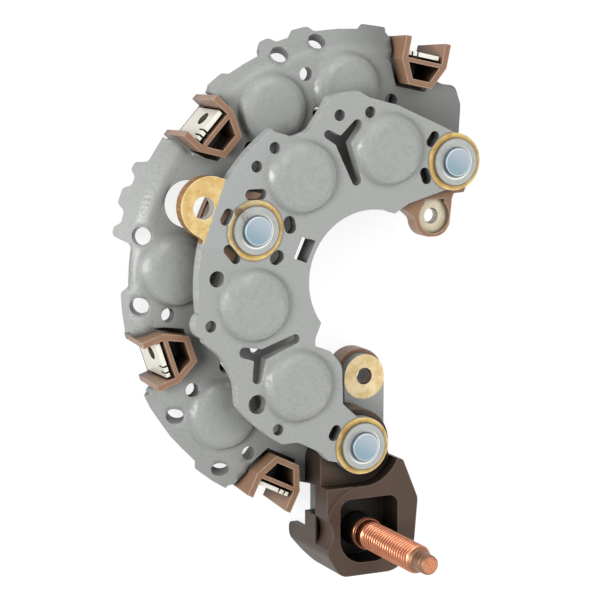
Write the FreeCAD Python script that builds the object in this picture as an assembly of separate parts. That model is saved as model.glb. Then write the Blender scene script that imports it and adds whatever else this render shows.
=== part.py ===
import FreeCAD, Part

import os
from math import ceil, cos, radians, sin, tan

from FreeCAD import Vector

# Alternator rectifier in millimetres. The origin is on the alternator's shaft axis, +Z points out of
# the front face, and z = 0 is the plane of the lead guides' back ends, on which the part lies.

# Heat-sink sheet and levels
SHEET = 2.6
FRONT_TOP = 18.0
REAR_TOP = 8.0
FRONT_BACK = FRONT_TOP - SHEET
REAR_BACK = REAR_TOP - SHEET

# Clearance between pieces that slide together
SLIP = 0.1

# Cutters run past the faces that they open by PAST, and REACH is longer than any piece
PAST = 1.0
REACH = 150.0

# Diode pockets pressed forward out of the sheet
DOME_BASE_R = 7.65
DOME_TOP_R = 5.5
DOME_RISE = 2.5
SHOULDER_R = 6.85
SHOULDER_RISE = 1.65
POCKET_R = 5.4
POCKET_WALL = 1.6
DIODE_R = 4.9
DIODE_T = 2.4
LEAD_HOLE_R = 2.4
LEAD_R = 0.65
LEAD_END = 0.6
FRONT_DIODES = ((3.9, 26.6), (-15.9, 21.7), (-26.6, -3.8), (-16.8, -21.2))
REAR_DIODES = ((-1.0, 38.7), (-18.0, 34.8), (-39.3, 2.9), (-29.3, -27.8))

# Rivets that hold the stack together, each with its washer
RIVET_A = (19.4, 23.4)
RIVET_B = (-26.3, 11.4)
RIVET_C = (-1.9, -35.2)
RIVETS = (RIVET_A, RIVET_B, RIVET_C)
RIVET_R = 1.6
RIVET_HOLE_R = RIVET_R + SLIP
RIVET_HEAD_R = 3.0
RIVET_HEAD_T = 0.9
RIVET_TAIL_R = 2.8
RIVET_TAIL = 0.9
WASHER_R = 5.0
WASHER_T = 0.8
LOBE_R = 6.05
SPIGOT_R = 2.9

# Front fin: a C round the shaft, with its bolt ear
FRONT_OUTER_R = 38.9
FRONT_INNER_R = 14.3
FRONT_CORNERS = (
    (20.5, 29.0, 0), (14.9, 31.6, 8), (5.9, 35.6, 6), (-0.6, 37.3, 3), (-3.4, 38.9, 2.5),
    (-9.4, 38.0, 1.2), (-11.2, 35.0, 2), (-14.0, 31.0, 3), (-17.4, 29.7, 4), (-22.4, 31.2, 2),
    (-30.0, 45.0, 0), (-60.0, 20.0, 0), (-60.0, -8.0, 0), (-39.2, -9.3, 1), (-33.5, -14.2, 5),
    (-30.6, -19.6, 6), (-30.2, -24.8, 2.5), (-22.0, -33.2, 3), (-16.9, -33.0, 4),
    (-11.6, -35.7, 2.5), (-8.3, -39.2, 2), (-4.2, -40.6, 0), (-2.6, -29.4, 0), (-6.5, -25.9, 0.8),
    (-6.7, -17.8, 3), (-9.4, -14.5, 2), (-12.9, -13.4, 0.8), (-12.8, -11.5, 1), (-11.6, -8.7, 1.2),
    (-9.0, 0.0, 0), (3.0, 11.5, 0), (5.6, 13.3, 0.8), (8.6, 15.1, 2), (17.5, 17.6, 0),
)
EDGE_BUMP_INSET = 1.5
EDGE_BUMP_ANGLE = 191.1
EDGE_BUMP_R = 3.0
EAR_CENTRE = (-36.1, 16.5)
EAR_R = 6.25
EAR_HOLE = (-37.45, 16.4)
EAR_HOLE_R = 2.3
EAR_CORNERS = ((-36.4, 22.7, 0), (-26.0, 20.9, 0), (-26.0, 9.4, 0), (-33.0, 8.6, 0), (-37.2, 9.7, 0), (-40.4, 12.0, 0))
FRONT_HOLES = (
    (-7.4, 33.9, 1.2), (-0.4, 34.3, 1.2), (-21.9, 27.8, 1.2), (-25.9, 24.2, 1.2), (-36.1, -7.5, 1.2),
    (-21.3, -30.0, 1.2), (-34.7, 2.0, 1.65), (-25.9, -24.3, 2.0),
)
# Each slot is x, y, length, width and the angle of its length
FRONT_SLOTS = (
    (-26.1, 18.6, 4.7, 2.2, 0), (-31.4, 6.8, 4.6, 2.1, -50), (-32.5, 14.4, 3.6, 2.2, 60),
    (-18.6, 12.1, 3.7, 2.6, 100), (-21.5, 5.6, 3.3, 2.6, 40), (14.2, 28.3, 3.6, 2.1, 55),
    (12.6, 20.7, 3.6, 2.2, -70), (-8.3, -31.9, 3.5, 2.3, 60),
)
WINDOW_CORNERS = ((-15.8, 9.6, 0), (-12.8, 8.5, 0), (-14.8, 4.1, 0), (-17.7, 5.2, 0))
# Lip bent back from the window's inner edge
WINDOW_LIP_T = 0.8
WINDOW_LIP = 2.4
# Each arm of a Y-shaped slot is its end, its width there and its width at the junction
Y_SLOTS = (
    ((-6.6, 28.2), (((-10.0, 30.1), 1.8, 2.4), ((-3.4, 31.8), 2.3, 3.0), ((-3.5, 20.5), 2.2, 3.4))),
    ((-25.2, -14.3), (((-28.8, -13.4), 2.2, 2.8), ((-17.4, -11.4), 2.0, 2.4), ((-25.9, -19.0), 2.2, 2.8))),
)

# Rear fin: a wider C whose rim slopes back, with a boss lug and a tongue under the output stud
REAR_INNER_R = 16.8
RIM_BEND_R = 47.3
RIM_SLOPE = 36.0
RIM_STEP = 0.6
RIM_ROUND = 1.1
# Each stretch of the rim is its first angle, its last angle and its reach past the bend
RIM_STRETCHES = (
    (77.5, 86.0, 4.7), (86.0, 98.5, 3.6), (98.5, 104.0, 4.8), (104.0, 108.6, 3.6), (108.6, 112.6, 4.8),
    (112.6, 123.0, 2.6), (123.0, 151.3, 3.5), (151.3, 154.4, 5.5), (154.4, 157.6, 4.4),
    (157.6, 162.3, 5.7), (162.3, 166.3, 4.3), (166.3, 169.5, 5.4), (169.5, 180.8, 2.0),
    (180.8, 191.4, 3.3), (191.4, 228.5, 3.9), (228.5, 240.0, 5.0),
)
# Longest stretch that one straight side may span, in degrees
RIM_CHORD = 10.0
ROUND_POINTS = 4
# Inner corners that close the rim's outline
RIM_END = ((-11.0, -22.5), (-12.2, -13.4), (0.0, 0.0))
RIGHT_CORNERS = (
    (1.5, 17.5, 0), (4.0, 45.0, 0), (13.0, 43.0, 0), (21.8, 39.0, 2.5), (25.0, 38.6, 2),
    (26.4, 34.5, 3), (25.6, 20.5, 4), (20.5, 16.9, 0), (13.5, 18.6, 0), (7.1, 15.3, 0),
)
LUG_CENTRE = (3.6, -22.6)
LUG_R = 4.7
LUG_THREAD_R = 1.8
TONGUE_HALF = 7.4
STUD_CENTRE = (-0.5, -54.3)
TONGUE_LEFT = STUD_CENTRE[0] - TONGUE_HALF
TONGUE_RIGHT = STUD_CENTRE[0] + TONGUE_HALF
TONGUE_END = -59.8
LUG_LEFT = LUG_CENTRE[0] - LUG_R
LUG_RIGHT = LUG_CENTRE[0] + LUG_R
LOWER_CORNERS = (
    (LUG_LEFT, LUG_CENTRE[1], 0), (LUG_LEFT, -29.4, 1.5), (-15.5, -26.2, 0), (-25.0, -37.0, 0),
    (-16.5, -42.2, 0), (-11.4, -44.1, 1), (TONGUE_LEFT, -45.0, 1), (TONGUE_LEFT, TONGUE_END, 5),
    (TONGUE_RIGHT, TONGUE_END, 5), (TONGUE_RIGHT, -43.5, 2), (LUG_RIGHT, -40.0, 2),
    (LUG_RIGHT, LUG_CENTRE[1], 0),
)
# Each rim hole is its distance past the bend and its angle
RIM_HOLES = ((1.3, 109.0), (1.7, 98.4), (0.6, 167.7), (0.4, 185.0), (1.1, 214.8), (2.3, 233.8))
RIM_HOLE_R = 1.85
REAR_HOLES = (
    (-10.2, 41.8, 1.45), (-41.3, -6.3, 1.45), (-36.1, -22.2, 1.45), (-23.5, -36.7, 1.45), (-7.2, 33.6, 1.45),
    (-22.7, 27.0, 1.45), (9.6, 35.8, 1.45), (-28.5, -17.8, 1.45), (-21.45, -14.3, 1.65), (-4.6, 25.75, 1.8),
)
EAR_NOTCH_CENTRE = (-37.0, 16.3)
EAR_NOTCH_R = 4.8
EAR_NOTCH_INNER = (-25.0, 11.0)

# Lead guides of the terminal block: how far the crossbar's outer face lies inside the rim's bend, its
# bearing from the shaft and the angle that it faces
GUIDE_PLACES = ((0.46, 70.67, 78.0), (2.22, 135.85, 137.7), (2.22, 198.9, 198.7), (0.3, 246.63, 243.7))
GUIDE_FRONT = 12.0
GUIDE_HALF = 5.4
GUIDE_FOOT_HALF = 2.8
GUIDE_ARM_END = 4.4
GUIDE_ARM_END_BACK = 3.6
GUIDE_KNEE = -0.6
GUIDE_FOOT = -5.5
GUIDE_WALL = 1.3
CROSSBAR = 0.9
GUIDE_FLOOR = 2.6
HOLE_TOP_HALF = 3.7
HOLE_FOOT_HALF = 2.05
HOLE_FOOT = -4.2
NOTCH_GAP = 0.7
NOTCH_KNEE = 0.4
NOTCH_FLARE = 0.9
RIM_OPENING = 8.0
FLANGE_FOOT_HALF = 3.7
FLANGE_FOOT = -6.5

# Terminal block behind the rear fin
BLOCK_BACK = 1.2
RING_R = 33.7
RING_HALF = 0.7
RING_T = 1.8
RING_START = 49.0
RING_END = 267.0
ARM_HALF = 2.0
PAD_ARM_HALF = 1.6
EYELET_R = 2.7
PAD_R = 4.8
PAD_B_R = 3.5
BOSS_PAD_R = 5.6
BOSS_WEB_HALF = 3.2
LUG_CLEARANCE = 0.4

# Conductor straps set in the block, each bent forward into a solder tab
STRAP_T = 0.8
STRAP_HALF = 1.1
STRAP_EYE_R = 1.9
STRAP_BACK = BLOCK_BACK - STRAP_T
STRAP_FOOT = 1.4
TAB_V = 0.6
TAB_T = 0.9
TAB_HALF = 3.7
TAB_FRONT = 11.0
TAB_HOLE_R = 1.5
TAB_HOLE_U = 1.2
TAB_HOLE_Z = 6.6
TAB_SLITS = (-1.4, -2.7)
TAB_SLIT_HALF = 0.2
TAB_SLIT_DEPTH = 2.4

# Spacer at rivet A, whose lug carries a ring terminal over a captive nut
LUG_BACK = 12.0
RING_CENTRE = (16.2, 11.8)
RING_TERMINAL_R = 3.6
RING_HOLE_R = 1.7
RING_TOP = 14.0
EYE_T = 0.8
EYE_NECK_HALF = 2.4
FRONT_INNER_EDGE = 15.4
SPACER_CORNERS = (
    (9.2, 15.6, 0), (23.2, 16.6, 0), (24.8, 20.0, 3), (24.6, 27.5, 3), (15.6, 31.0, 2), (11.0, 24.5, 0),
)
LUG_CORNERS = (
    (9.3, 16.5, 0), (8.9, 13.7, 0), (11.6, 11.4, 2.0), (12.0, 7.5, 3.6), (19.6, 7.5, 3.6),
    (20.4, 15.4, 0), (21.0, 17.0, 0),
)
NUT_FLATS_HALF = 2.75
NUT_T = 1.2
NUT_THREAD_R = 1.45
NUT_TURN = 20.0

# Spacer bush at rivet B
BUSH_R = 7.5
BUSH_FOOT_R = 3.4

# Insulator round the output stud
INSULATOR_FRONT = 19.0
INSULATOR_STEP = 13.0
INSULATOR_LEFT = -10.4
INSULATOR_CORNERS = (
    (INSULATOR_LEFT, -36.6, 0.8), (INSULATOR_LEFT, -57.8, 2.5), (-7.4, -62.7, 3), (6.4, -62.7, 5.5),
    (10.0, -57.0, 4), (10.8, -47.4, 3), (7.2, -38.7, 1), (3.4, -38.0, 0.5),
)
NECK_R = 7.4
NECK_CORNERS = (
    (-9.2, -35.2, 0), (INSULATOR_LEFT, -38.5, 1), (INSULATOR_LEFT, -44.0, 0), (7.0, -44.0, 0),
    (5.6, -38.2, 0), (4.4, -32.5, 0),
)
RECESS_R = 8.4
RECESS_EDGE = RIVET_C[1] - RECESS_R
WELL_CORNERS = ((-7.5, -46.2, 2.4), (-7.5, -60.0, 5.5), (6.0, -60.0, 5.5), (6.0, -46.2, 2))
WELL_FLOOR = 12.0
SCOOP_CENTRE = (-13.7, -53.4)
SCOOP_R = 4.6
SCOOP_FLOOR = 8.6
SCOOP_WALL = 0.5
SCOOP_END = 3.1
# Arc that bounds the raised land round the well
LAND_CENTRE = (-1.5, -52.5)
LAND_R = 9.2
LAND_STEP = 0.3
SKIRT_WALL = 1.5
SKIRT_LEFT = -14.0
SKIRT_REACH = 12.0
# Corners of the skirt as seen from its side, as y, z and radius
SKIRT_CORNERS = (
    (-54.4, 15.0, 0), (-54.4, 0.0, 1.4), (-57.4, 0.0, 3), (-60.2, 3.0, 3), (-63.4, 11.0, 0), (-64.0, 15.0, 0),
)

# Output stud
STUD_HEAD_R = 5.0
STUD_HEAD_T = 1.6
STUD_COLLAR_R = 3.45
STUD_COLLAR_END = 20.0
STUD_GROOVE_R = 2.7
STUD_GROOVE = 0.8
STUD_THREAD_R = 3.0
STUD_THREAD_END = 40.5
STUD_POINT_R = 2.05
STUD_TIP = 45.0

UP = Vector(0, 0, 1)


def polar(radius, angle, z=0.0):
    return Vector(radius * cos(radians(angle)), radius * sin(radians(angle)), z)


def rounded_edges(points, radii):
    """Edges of a closed outline through the points, with each corner rounded to its radius."""
    count = len(points)
    starts = []
    mids = []
    ends = []
    for i, point in enumerate(points):
        to_last = (points[i - 1] - point).normalize()
        to_next = (points[(i + 1) % count] - point).normalize()
        half = to_last.getAngle(to_next) / 2
        bisector = (to_last + to_next).normalize()
        cut = radii[i] / tan(half)
        starts.append(point + to_last * cut)
        ends.append(point + to_next * cut)
        mids.append(point + bisector * (radii[i] / sin(half) - radii[i]))
    edges = []
    for i in range(count):
        if radii[i] > 0:
            edges.append(Part.Arc(starts[i], mids[i], ends[i]).toShape())
        edges.append(Part.LineSegment(ends[i], starts[(i + 1) % count]).toShape())
    return edges


def rounded_wire(points, radii):
    return Part.Wire(rounded_edges(points, radii))


def polygon(points):
    return Part.Face(Part.makePolygon(points + points[:1]))


def prism(corners, z0, z1):
    """Upright solid on a rounded outline given as x, y and corner radius."""
    points = [Vector(x, y, z0) for x, y, _ in corners]
    face = Part.Face(rounded_wire(points, [radius for _, _, radius in corners]))
    return face.extrude(Vector(0, 0, z1 - z0))


def cylinder(centre, radius, z0, z1):
    return Part.makeCylinder(radius, z1 - z0, Vector(centre[0], centre[1], z0))


def box(x0, x1, y0, y1, z0, z1):
    return Part.makeBox(x1 - x0, y1 - y0, z1 - z0, Vector(x0, y0, z0))


def web(start, end, half, z0, z1, end_half=None):
    """Upright square-ended web between two centres, tapered if its far end has its own width."""
    far = half if end_half is None else end_half
    a = Vector(start[0], start[1], z0)
    b = Vector(end[0], end[1], z0)
    side = UP.cross(b - a).normalize()
    loop = [a + side * half, b + side * far, b - side * far, a - side * half]
    return Part.Face(Part.makePolygon(loop + loop[:1])).extrude(Vector(0, 0, z1 - z0))


def bar(start, end, half, z0, z1, end_half=None):
    """Web with round ends."""
    far = half if end_half is None else end_half
    ends = [cylinder(start, half, z0, z1), cylinder(end, far, z0, z1)]
    return web(start, end, half, z0, z1, end_half).multiFuse(ends)


def slot(x, y, length, width, angle, z0, z1):
    reach = polar((length - width) / 2, angle)
    return bar((x - reach.x, y - reach.y), (x + reach.x, y + reach.y), width / 2, z0, z1)


def turned(profile, centre):
    """Solid of revolution about an upright axis, from radius and height pairs that end on the axis."""
    points = [Vector(radius, 0, z) for radius, z in profile]
    face = Part.Face(Part.makePolygon(points + points[:1]))
    solid = face.revolve(Vector(0, 0, 0), UP, 360)
    solid.translate(Vector(centre[0], centre[1], 0))
    return solid


def at_guide(shape, guide):
    """Place a shape drawn with u along X and the outward direction v along Y."""
    x, y, angle = guide
    shape.rotate(Vector(0, 0, 0), UP, angle - 90)
    shape.translate(Vector(x, y, 0))
    return shape


def dome(centre, top):
    """Raised boss over one diode pocket, with a bevelled shoulder and a flat top."""
    profile = (
        (0, top - PAST), (DOME_BASE_R, top - PAST), (DOME_BASE_R, top), (SHOULDER_R, top + SHOULDER_RISE),
        (DOME_TOP_R, top + DOME_RISE), (0, top + DOME_RISE),
    )
    return turned(profile, centre)


def pocket_roof(top):
    return top + DOME_RISE - POCKET_WALL


def pocket(centre, top):
    """Round pocket that opens at the back of the sheet."""
    return cylinder(centre, POCKET_R, top - SHEET, pocket_roof(top))


def y_slot(junction, arms):
    z0 = FRONT_BACK - PAST
    z1 = FRONT_TOP + DOME_RISE + PAST
    cuts = [bar(junction, end, middle / 2, z0, z1, tip / 2) for end, tip, middle in arms]
    return cuts[0].multiFuse(cuts[1:])


def window_lip():
    """Lip turned back along the window's inner edge."""
    start = Vector(*WINDOW_CORNERS[1][:2], FRONT_BACK)
    end = Vector(*WINDOW_CORNERS[2][:2], FRONT_BACK)
    across = (end - start).cross(UP).normalize() * -WINDOW_LIP_T
    loop = [start, end, end + across, start + across, start]
    return Part.Face(Part.makePolygon(loop)).extrude(Vector(0, 0, -WINDOW_LIP))


def front_fin():
    z0 = FRONT_BACK
    z1 = FRONT_TOP
    low = z0 - PAST
    high = z1 + PAST
    body = prism(FRONT_CORNERS, z0, z1).common(cylinder((0, 0), FRONT_OUTER_R, z0, z1))
    ear = prism(EAR_CORNERS, z0, z1).fuse(cylinder(EAR_CENTRE, EAR_R, z0, z1))
    lobes = [cylinder(RIVET_A, LOBE_R, z0, z1), cylinder(RIVET_C, LOBE_R, z0, z1)]
    bump_at = polar(FRONT_OUTER_R - EDGE_BUMP_INSET, EDGE_BUMP_ANGLE)
    bump = cylinder(bump_at, EDGE_BUMP_R, z0, z1)
    domes = [dome(centre, z1) for centre in FRONT_DIODES]
    body = body.multiFuse(lobes + [ear, bump, window_lip()] + domes)
    cuts = [cylinder((0, 0), FRONT_INNER_R, low, high)]
    cuts += [pocket(centre, z1) for centre in FRONT_DIODES]
    cuts += [cylinder(rivet, RIVET_HOLE_R, low, high) for rivet in RIVETS]
    cuts += [cylinder((x, y), radius, low, high) for x, y, radius in FRONT_HOLES]
    cuts += [slot(*values, low, high) for values in FRONT_SLOTS]
    cuts += [y_slot(junction, arms) for junction, arms in Y_SLOTS]
    cuts.append(prism(WINDOW_CORNERS, low, high))
    cuts.append(cylinder(EAR_HOLE, EAR_HOLE_R, low, high))
    return body.cut(cuts).removeSplitter()


def rim_drop(radius):
    """How far the sloping rim's front face lies behind the flat sheet's at this radius."""
    return max(radius - RIM_BEND_R, 0) * tan(radians(RIM_SLOPE))


def rim_outline():
    """Plan points of the rim's stepped front edge, with the corners of its steps rounded."""
    points = []
    radii = []
    for start, end, reach in RIM_STRETCHES:
        chords = ceil((end - start) / RIM_CHORD)
        for chord in range(chords + 1):
            angle = start + RIM_STEP + (end - start - 2 * RIM_STEP) * chord / chords
            points.append(polar(RIM_BEND_R + reach, angle))
            radii.append(RIM_ROUND if chord in (0, chords) else 0)
    points += [Vector(x, y, 0) for x, y in RIM_END]
    radii += [0] * len(RIM_END)
    outline = []
    for edge in rounded_edges(points, radii):
        straight = edge.Curve.TypeId == "Part::GeomLine"
        outline += edge.discretize(2 if straight else ROUND_POINTS)[:-1]
    return outline


def at_rim_level(point, z):
    """Where the square-cut edge over this outline point passes the level z."""
    radius = point.Length
    if radius < RIM_BEND_R:
        return Vector(point.x, point.y, z)
    shift = (z - REAR_TOP + rim_drop(radius)) * tan(radians(RIM_SLOPE))
    return point * ((radius + shift) / radius) + Vector(0, 0, z)


def rim_block():
    """Solid bounded by the rim's square-cut edge, which trims the sheet."""
    outline = rim_outline()
    low = [at_rim_level(point, -2 * SHEET) for point in outline]
    high = [at_rim_level(point, REAR_TOP + PAST) for point in outline]
    faces = [polygon(low), polygon(high)]
    for a, b, c, d in zip(low, low[1:] + low[:1], high[1:] + high[:1], high):
        faces += [polygon([a, b, c]), polygon([a, c, d])]
    return Part.Solid(Part.Shell(faces))


def sloped_sheet():
    """Flat ring that bends down into the sloping rim, cut to its stepped outline."""
    inner_bend = RIM_BEND_R - SHEET * tan(radians(RIM_SLOPE / 2))
    outer = RIM_BEND_R + 4 * SHEET
    drop = rim_drop(outer)
    inner_drop = (outer - inner_bend) * tan(radians(RIM_SLOPE))
    profile = (
        (REAR_INNER_R, REAR_TOP), (RIM_BEND_R, REAR_TOP), (outer, REAR_TOP - drop),
        (outer, REAR_BACK - inner_drop), (inner_bend, REAR_BACK), (REAR_INNER_R, REAR_BACK),
    )
    return turned(profile, (0, 0)).common(rim_block())


def guide_notch(guide):
    """Gap in the rear fin round one lead guide, open outward."""
    side = GUIDE_HALF + NOTCH_GAP
    foot = GUIDE_FOOT_HALF + NOTCH_GAP
    knee = GUIDE_KNEE - NOTCH_KNEE
    toe = GUIDE_FOOT - NOTCH_GAP
    half = (
        (side + NOTCH_FLARE, GUIDE_ARM_END + RIM_OPENING, 0), (side + NOTCH_FLARE, GUIDE_ARM_END, 0),
        (side, GUIDE_ARM_END - NOTCH_FLARE, 0), (side, knee, 0), (foot, toe, 0),
    )
    mirrored = tuple((-x, y, bend) for x, y, bend in reversed(half))
    return at_guide(prism(half + mirrored, -2 * SHEET, REAR_TOP + PAST), guide)


def rim_hole(reach, angle):
    """Hole square to the sloping rim."""
    radius = RIM_BEND_R + reach
    normal = polar(sin(radians(RIM_SLOPE)), angle, cos(radians(RIM_SLOPE)))
    middle = polar(radius, angle, REAR_TOP - rim_drop(radius))
    return Part.makeCylinder(RIM_HOLE_R, 4 * SHEET, middle - normal * (2.5 * SHEET), normal)


def rear_fin():
    z0 = REAR_BACK
    z1 = REAR_TOP
    right = prism(RIGHT_CORNERS, z0, z1)
    lower = prism(LOWER_CORNERS, z0, z1).fuse(cylinder(LUG_CENTRE, LUG_R, z0, z1))
    body = sloped_sheet().multiFuse([right, lower] + [dome(centre, z1) for centre in REAR_DIODES])
    low = z0 - PAST
    high = z1 + PAST
    cuts = [pocket(centre, z1) for centre in REAR_DIODES]
    cuts += [cylinder(centre, LEAD_HOLE_R, low, high) for centre in FRONT_DIODES]
    cuts += [cylinder(rivet, SPIGOT_R + SLIP, low, high) for rivet in (RIVET_A, RIVET_C)]
    cuts += [cylinder((x, y), radius, low, high) for x, y, radius in REAR_HOLES]
    cuts += [rim_hole(reach, angle) for reach, angle in RIM_HOLES]
    cuts += [guide_notch(guide) for guide in guides()]
    cuts.append(bar(EAR_NOTCH_CENTRE, EAR_NOTCH_INNER, EAR_NOTCH_R, low, high))
    cuts.append(cylinder(LUG_CENTRE, LUG_THREAD_R, low, high))
    cuts.append(cylinder(STUD_CENTRE, STUD_COLLAR_R + SLIP, low, high))
    return body.cut(cuts).removeSplitter()


def diode(centre, top):
    """Press-in button diode seated against the pocket's roof, with its lead straight back."""
    roof = pocket_roof(top)
    back = roof - DIODE_T
    profile = (
        (0, roof), (DIODE_R, roof), (DIODE_R, back), (LEAD_R, back), (LEAD_R, LEAD_END), (0, LEAD_END),
    )
    return turned(profile, centre)


def guides():
    """Each guide's place and the angle that it faces."""
    places = []
    for inset, bearing, facing in GUIDE_PLACES:
        at = polar(RIM_BEND_R - inset, bearing)
        places.append((at.x, at.y, facing))
    return places


def strap_nodes(index):
    """Plan points of one strap: both diode leads, the point on the ring and the guide's foot."""
    x, y, angle = guides()[index]
    on_ring = polar(RING_R, GUIDE_PLACES[index][1])
    foot = polar(-TAB_V, angle)
    return FRONT_DIODES[index], REAR_DIODES[index], (on_ring.x, on_ring.y), (x - foot.x, y - foot.y)


def strap_plate(index):
    """Flat of one strap, which lies on the back of the block."""
    inner, outer, on_ring, foot = strap_nodes(index)
    z0 = STRAP_BACK
    z1 = BLOCK_BACK
    runs = [web(end, on_ring, STRAP_HALF, z0, z1) for end in (inner, outer, foot)]
    joint = cylinder(on_ring, STRAP_HALF, z0, z1)
    base = box(-TAB_HALF, TAB_HALF, TAB_V - STRAP_FOOT, TAB_V + TAB_T, z0, z1)
    eyes = [cylinder(end, STRAP_EYE_R, z0, z1) for end in (inner, outer)]
    return joint.multiFuse(runs + eyes + [at_guide(base, guides()[index])])


def terminal_tab(index):
    """One stamped strap: eyes for two diode leads and a solder tab turned up inside its guide."""
    upright = box(-TAB_HALF, TAB_HALF, TAB_V, TAB_V + TAB_T, STRAP_BACK, TAB_FRONT)
    hole_base = Vector(TAB_HOLE_U, TAB_V - PAST, TAB_HOLE_Z)
    cuts = [Part.makeCylinder(TAB_HOLE_R, TAB_T + 2 * PAST, hole_base, Vector(0, 1, 0))]
    slit_end = TAB_FRONT - TAB_SLIT_DEPTH
    for u in TAB_SLITS:
        cuts.append(box(u - TAB_SLIT_HALF, u + TAB_SLIT_HALF, 0, TAB_V + TAB_T + PAST, slit_end, TAB_FRONT + PAST))
    upright = at_guide(upright.cut(cuts), guides()[index])
    leads = (FRONT_DIODES[index], REAR_DIODES[index])
    holes = [cylinder(lead, LEAD_R + SLIP, STRAP_BACK - PAST, BLOCK_BACK + PAST) for lead in leads]
    return strap_plate(index).fuse(upright).cut(holes).removeSplitter()


def lead_guide(guide):
    """Open-ended guide of the terminal block: two arms, a crossbar and a tapering socket."""
    half = ((GUIDE_FOOT_HALF, GUIDE_FOOT, 0), (GUIDE_HALF, GUIDE_KNEE, 0), (GUIDE_HALF, GUIDE_ARM_END, 0))
    mirrored = tuple((-x, y, bend) for x, y, bend in reversed(half))
    body = prism(half + mirrored, 0, GUIDE_FRONT)
    flange_half = ((FLANGE_FOOT_HALF, FLANGE_FOOT, 0), (GUIDE_HALF, GUIDE_KNEE, 0))
    flange_mirrored = tuple((-x, y, bend) for x, y, bend in reversed(flange_half))
    body = body.fuse(prism(flange_half + flange_mirrored, BLOCK_BACK, REAR_BACK))
    inner = GUIDE_HALF - GUIDE_WALL
    end = GUIDE_ARM_END + PAST
    top = GUIDE_FRONT + PAST
    gap = box(-inner, inner, 0, end, GUIDE_FLOOR, top)
    mouth = box(-inner, inner, TAB_V + TAB_T, end, -PAST, top)
    socket = prism((
        (-HOLE_TOP_HALF, -CROSSBAR, 0), (-HOLE_FOOT_HALF, HOLE_FOOT, 0), (HOLE_FOOT_HALF, HOLE_FOOT, 0),
        (HOLE_TOP_HALF, -CROSSBAR, 0),
    ), GUIDE_FLOOR, top)
    slope = Part.makePolygon([
        Vector(-GUIDE_HALF, GUIDE_ARM_END, GUIDE_FRONT), Vector(-GUIDE_HALF, GUIDE_ARM_END_BACK, 0),
        Vector(-GUIDE_HALF, end, 0), Vector(-GUIDE_HALF, GUIDE_ARM_END, GUIDE_FRONT),
    ])
    trim = Part.Face(slope).extrude(Vector(2 * GUIDE_HALF, 0, 0))
    return at_guide(body.cut([gap, mouth, socket, trim]), guide)


def block_ring():
    """Slim arc-shaped spine that the arms, pads and guides hang on."""
    z0 = BLOCK_BACK
    z1 = BLOCK_BACK + RING_T
    ring = cylinder((0, 0), RING_R + RING_HALF, z0, z1)
    ring = ring.cut(cylinder((0, 0), RING_R - RING_HALF, z0 - PAST, z1 + PAST))
    points = [Vector(0, 0, z0)]
    steps = 6
    for step in range(steps + 1):
        points.append(polar(2 * RING_R, RING_START + (RING_END - RING_START) * step / steps, z0))
    sector = Part.Face(Part.makePolygon(points + points[:1])).extrude(Vector(0, 0, RING_T))
    return ring.common(sector)


def block_pads():
    """Round pads under the rivets and the boss lug, each tied to the spine."""
    z0 = BLOCK_BACK
    z1 = REAR_BACK
    pads = [cylinder(LUG_CENTRE, BOSS_PAD_R, z0, z1), web(RIVET_C, LUG_CENTRE, BOSS_WEB_HALF, z0, z1)]
    for rivet, radius in ((RIVET_A, PAD_R), (RIVET_B, PAD_B_R), (RIVET_C, PAD_R)):
        outward = Vector(*rivet, 0).normalize() * RING_R
        pads.append(cylinder(rivet, radius, z0, z1))
        pads.append(web(rivet, outward, PAD_ARM_HALF, z0, z1))
    return pads


def block_arms(index):
    """Arms of the block that carry one strap to its diodes and its guide."""
    inner, outer, on_ring, foot = strap_nodes(index)
    z0 = BLOCK_BACK
    z1 = REAR_BACK
    arms = [web(end, on_ring, ARM_HALF, z0, z1) for end in (inner, outer, foot)]
    arms += [cylinder(end, EYELET_R, z0, z1) for end in (inner, outer)]
    return arms + [cylinder(on_ring, ARM_HALF, z0, z1)]


def terminal_block():
    low = -PAST
    high = REAR_BACK + PAST
    parts = block_pads()
    cuts = [cylinder(rivet, RIVET_HOLE_R, low, high) for rivet in RIVETS]
    cuts.append(cylinder(LUG_CENTRE, LUG_THREAD_R + LUG_CLEARANCE, low, high))
    for index, guide in enumerate(guides()):
        parts += block_arms(index) + [lead_guide(guide)]
        cuts.append(strap_plate(index))
        cuts.append(at_guide(box(-TAB_HALF, TAB_HALF, TAB_V, TAB_V + TAB_T, STRAP_BACK, GUIDE_FRONT), guide))
    cuts += [cylinder(lead, LEAD_R + SLIP, low, high) for lead in FRONT_DIODES + REAR_DIODES]
    return block_ring().multiFuse(parts).cut(cuts).removeSplitter()


def terminal_spacer():
    """Moulded spacer at rivet A with a lug that holds the ring terminal and its nut."""
    z0 = RING_TOP - EYE_T
    z1 = FRONT_BACK
    high = z1 + PAST
    body = prism(SPACER_CORNERS, REAR_TOP, z1).fuse(prism(LUG_CORNERS, LUG_BACK, z1))
    body = body.fuse(cylinder(RIVET_A, SPIGOT_R, REAR_BACK, REAR_TOP))
    x, y = RING_CENTRE
    cuts = [cylinder(RING_CENTRE, RING_TERMINAL_R, z0, high)]
    cuts.append(box(x - EYE_NECK_HALF, x + EYE_NECK_HALF, y, FRONT_INNER_EDGE, z0, high))
    cuts.append(cylinder(RING_CENTRE, RING_HOLE_R, LUG_BACK - PAST, z1))
    cuts.append(cylinder(RIVET_A, RIVET_HOLE_R, REAR_BACK - PAST, high))
    return body.cut(cuts + [ring_strap(), nut_blank()]).removeSplitter()


def ring_strap():
    z0 = RING_TOP - EYE_T
    eye = cylinder(RING_CENTRE, RING_TERMINAL_R, z0, RING_TOP)
    return eye.fuse(bar(RING_CENTRE, RIVET_A, EYE_NECK_HALF, z0, RING_TOP))


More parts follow.
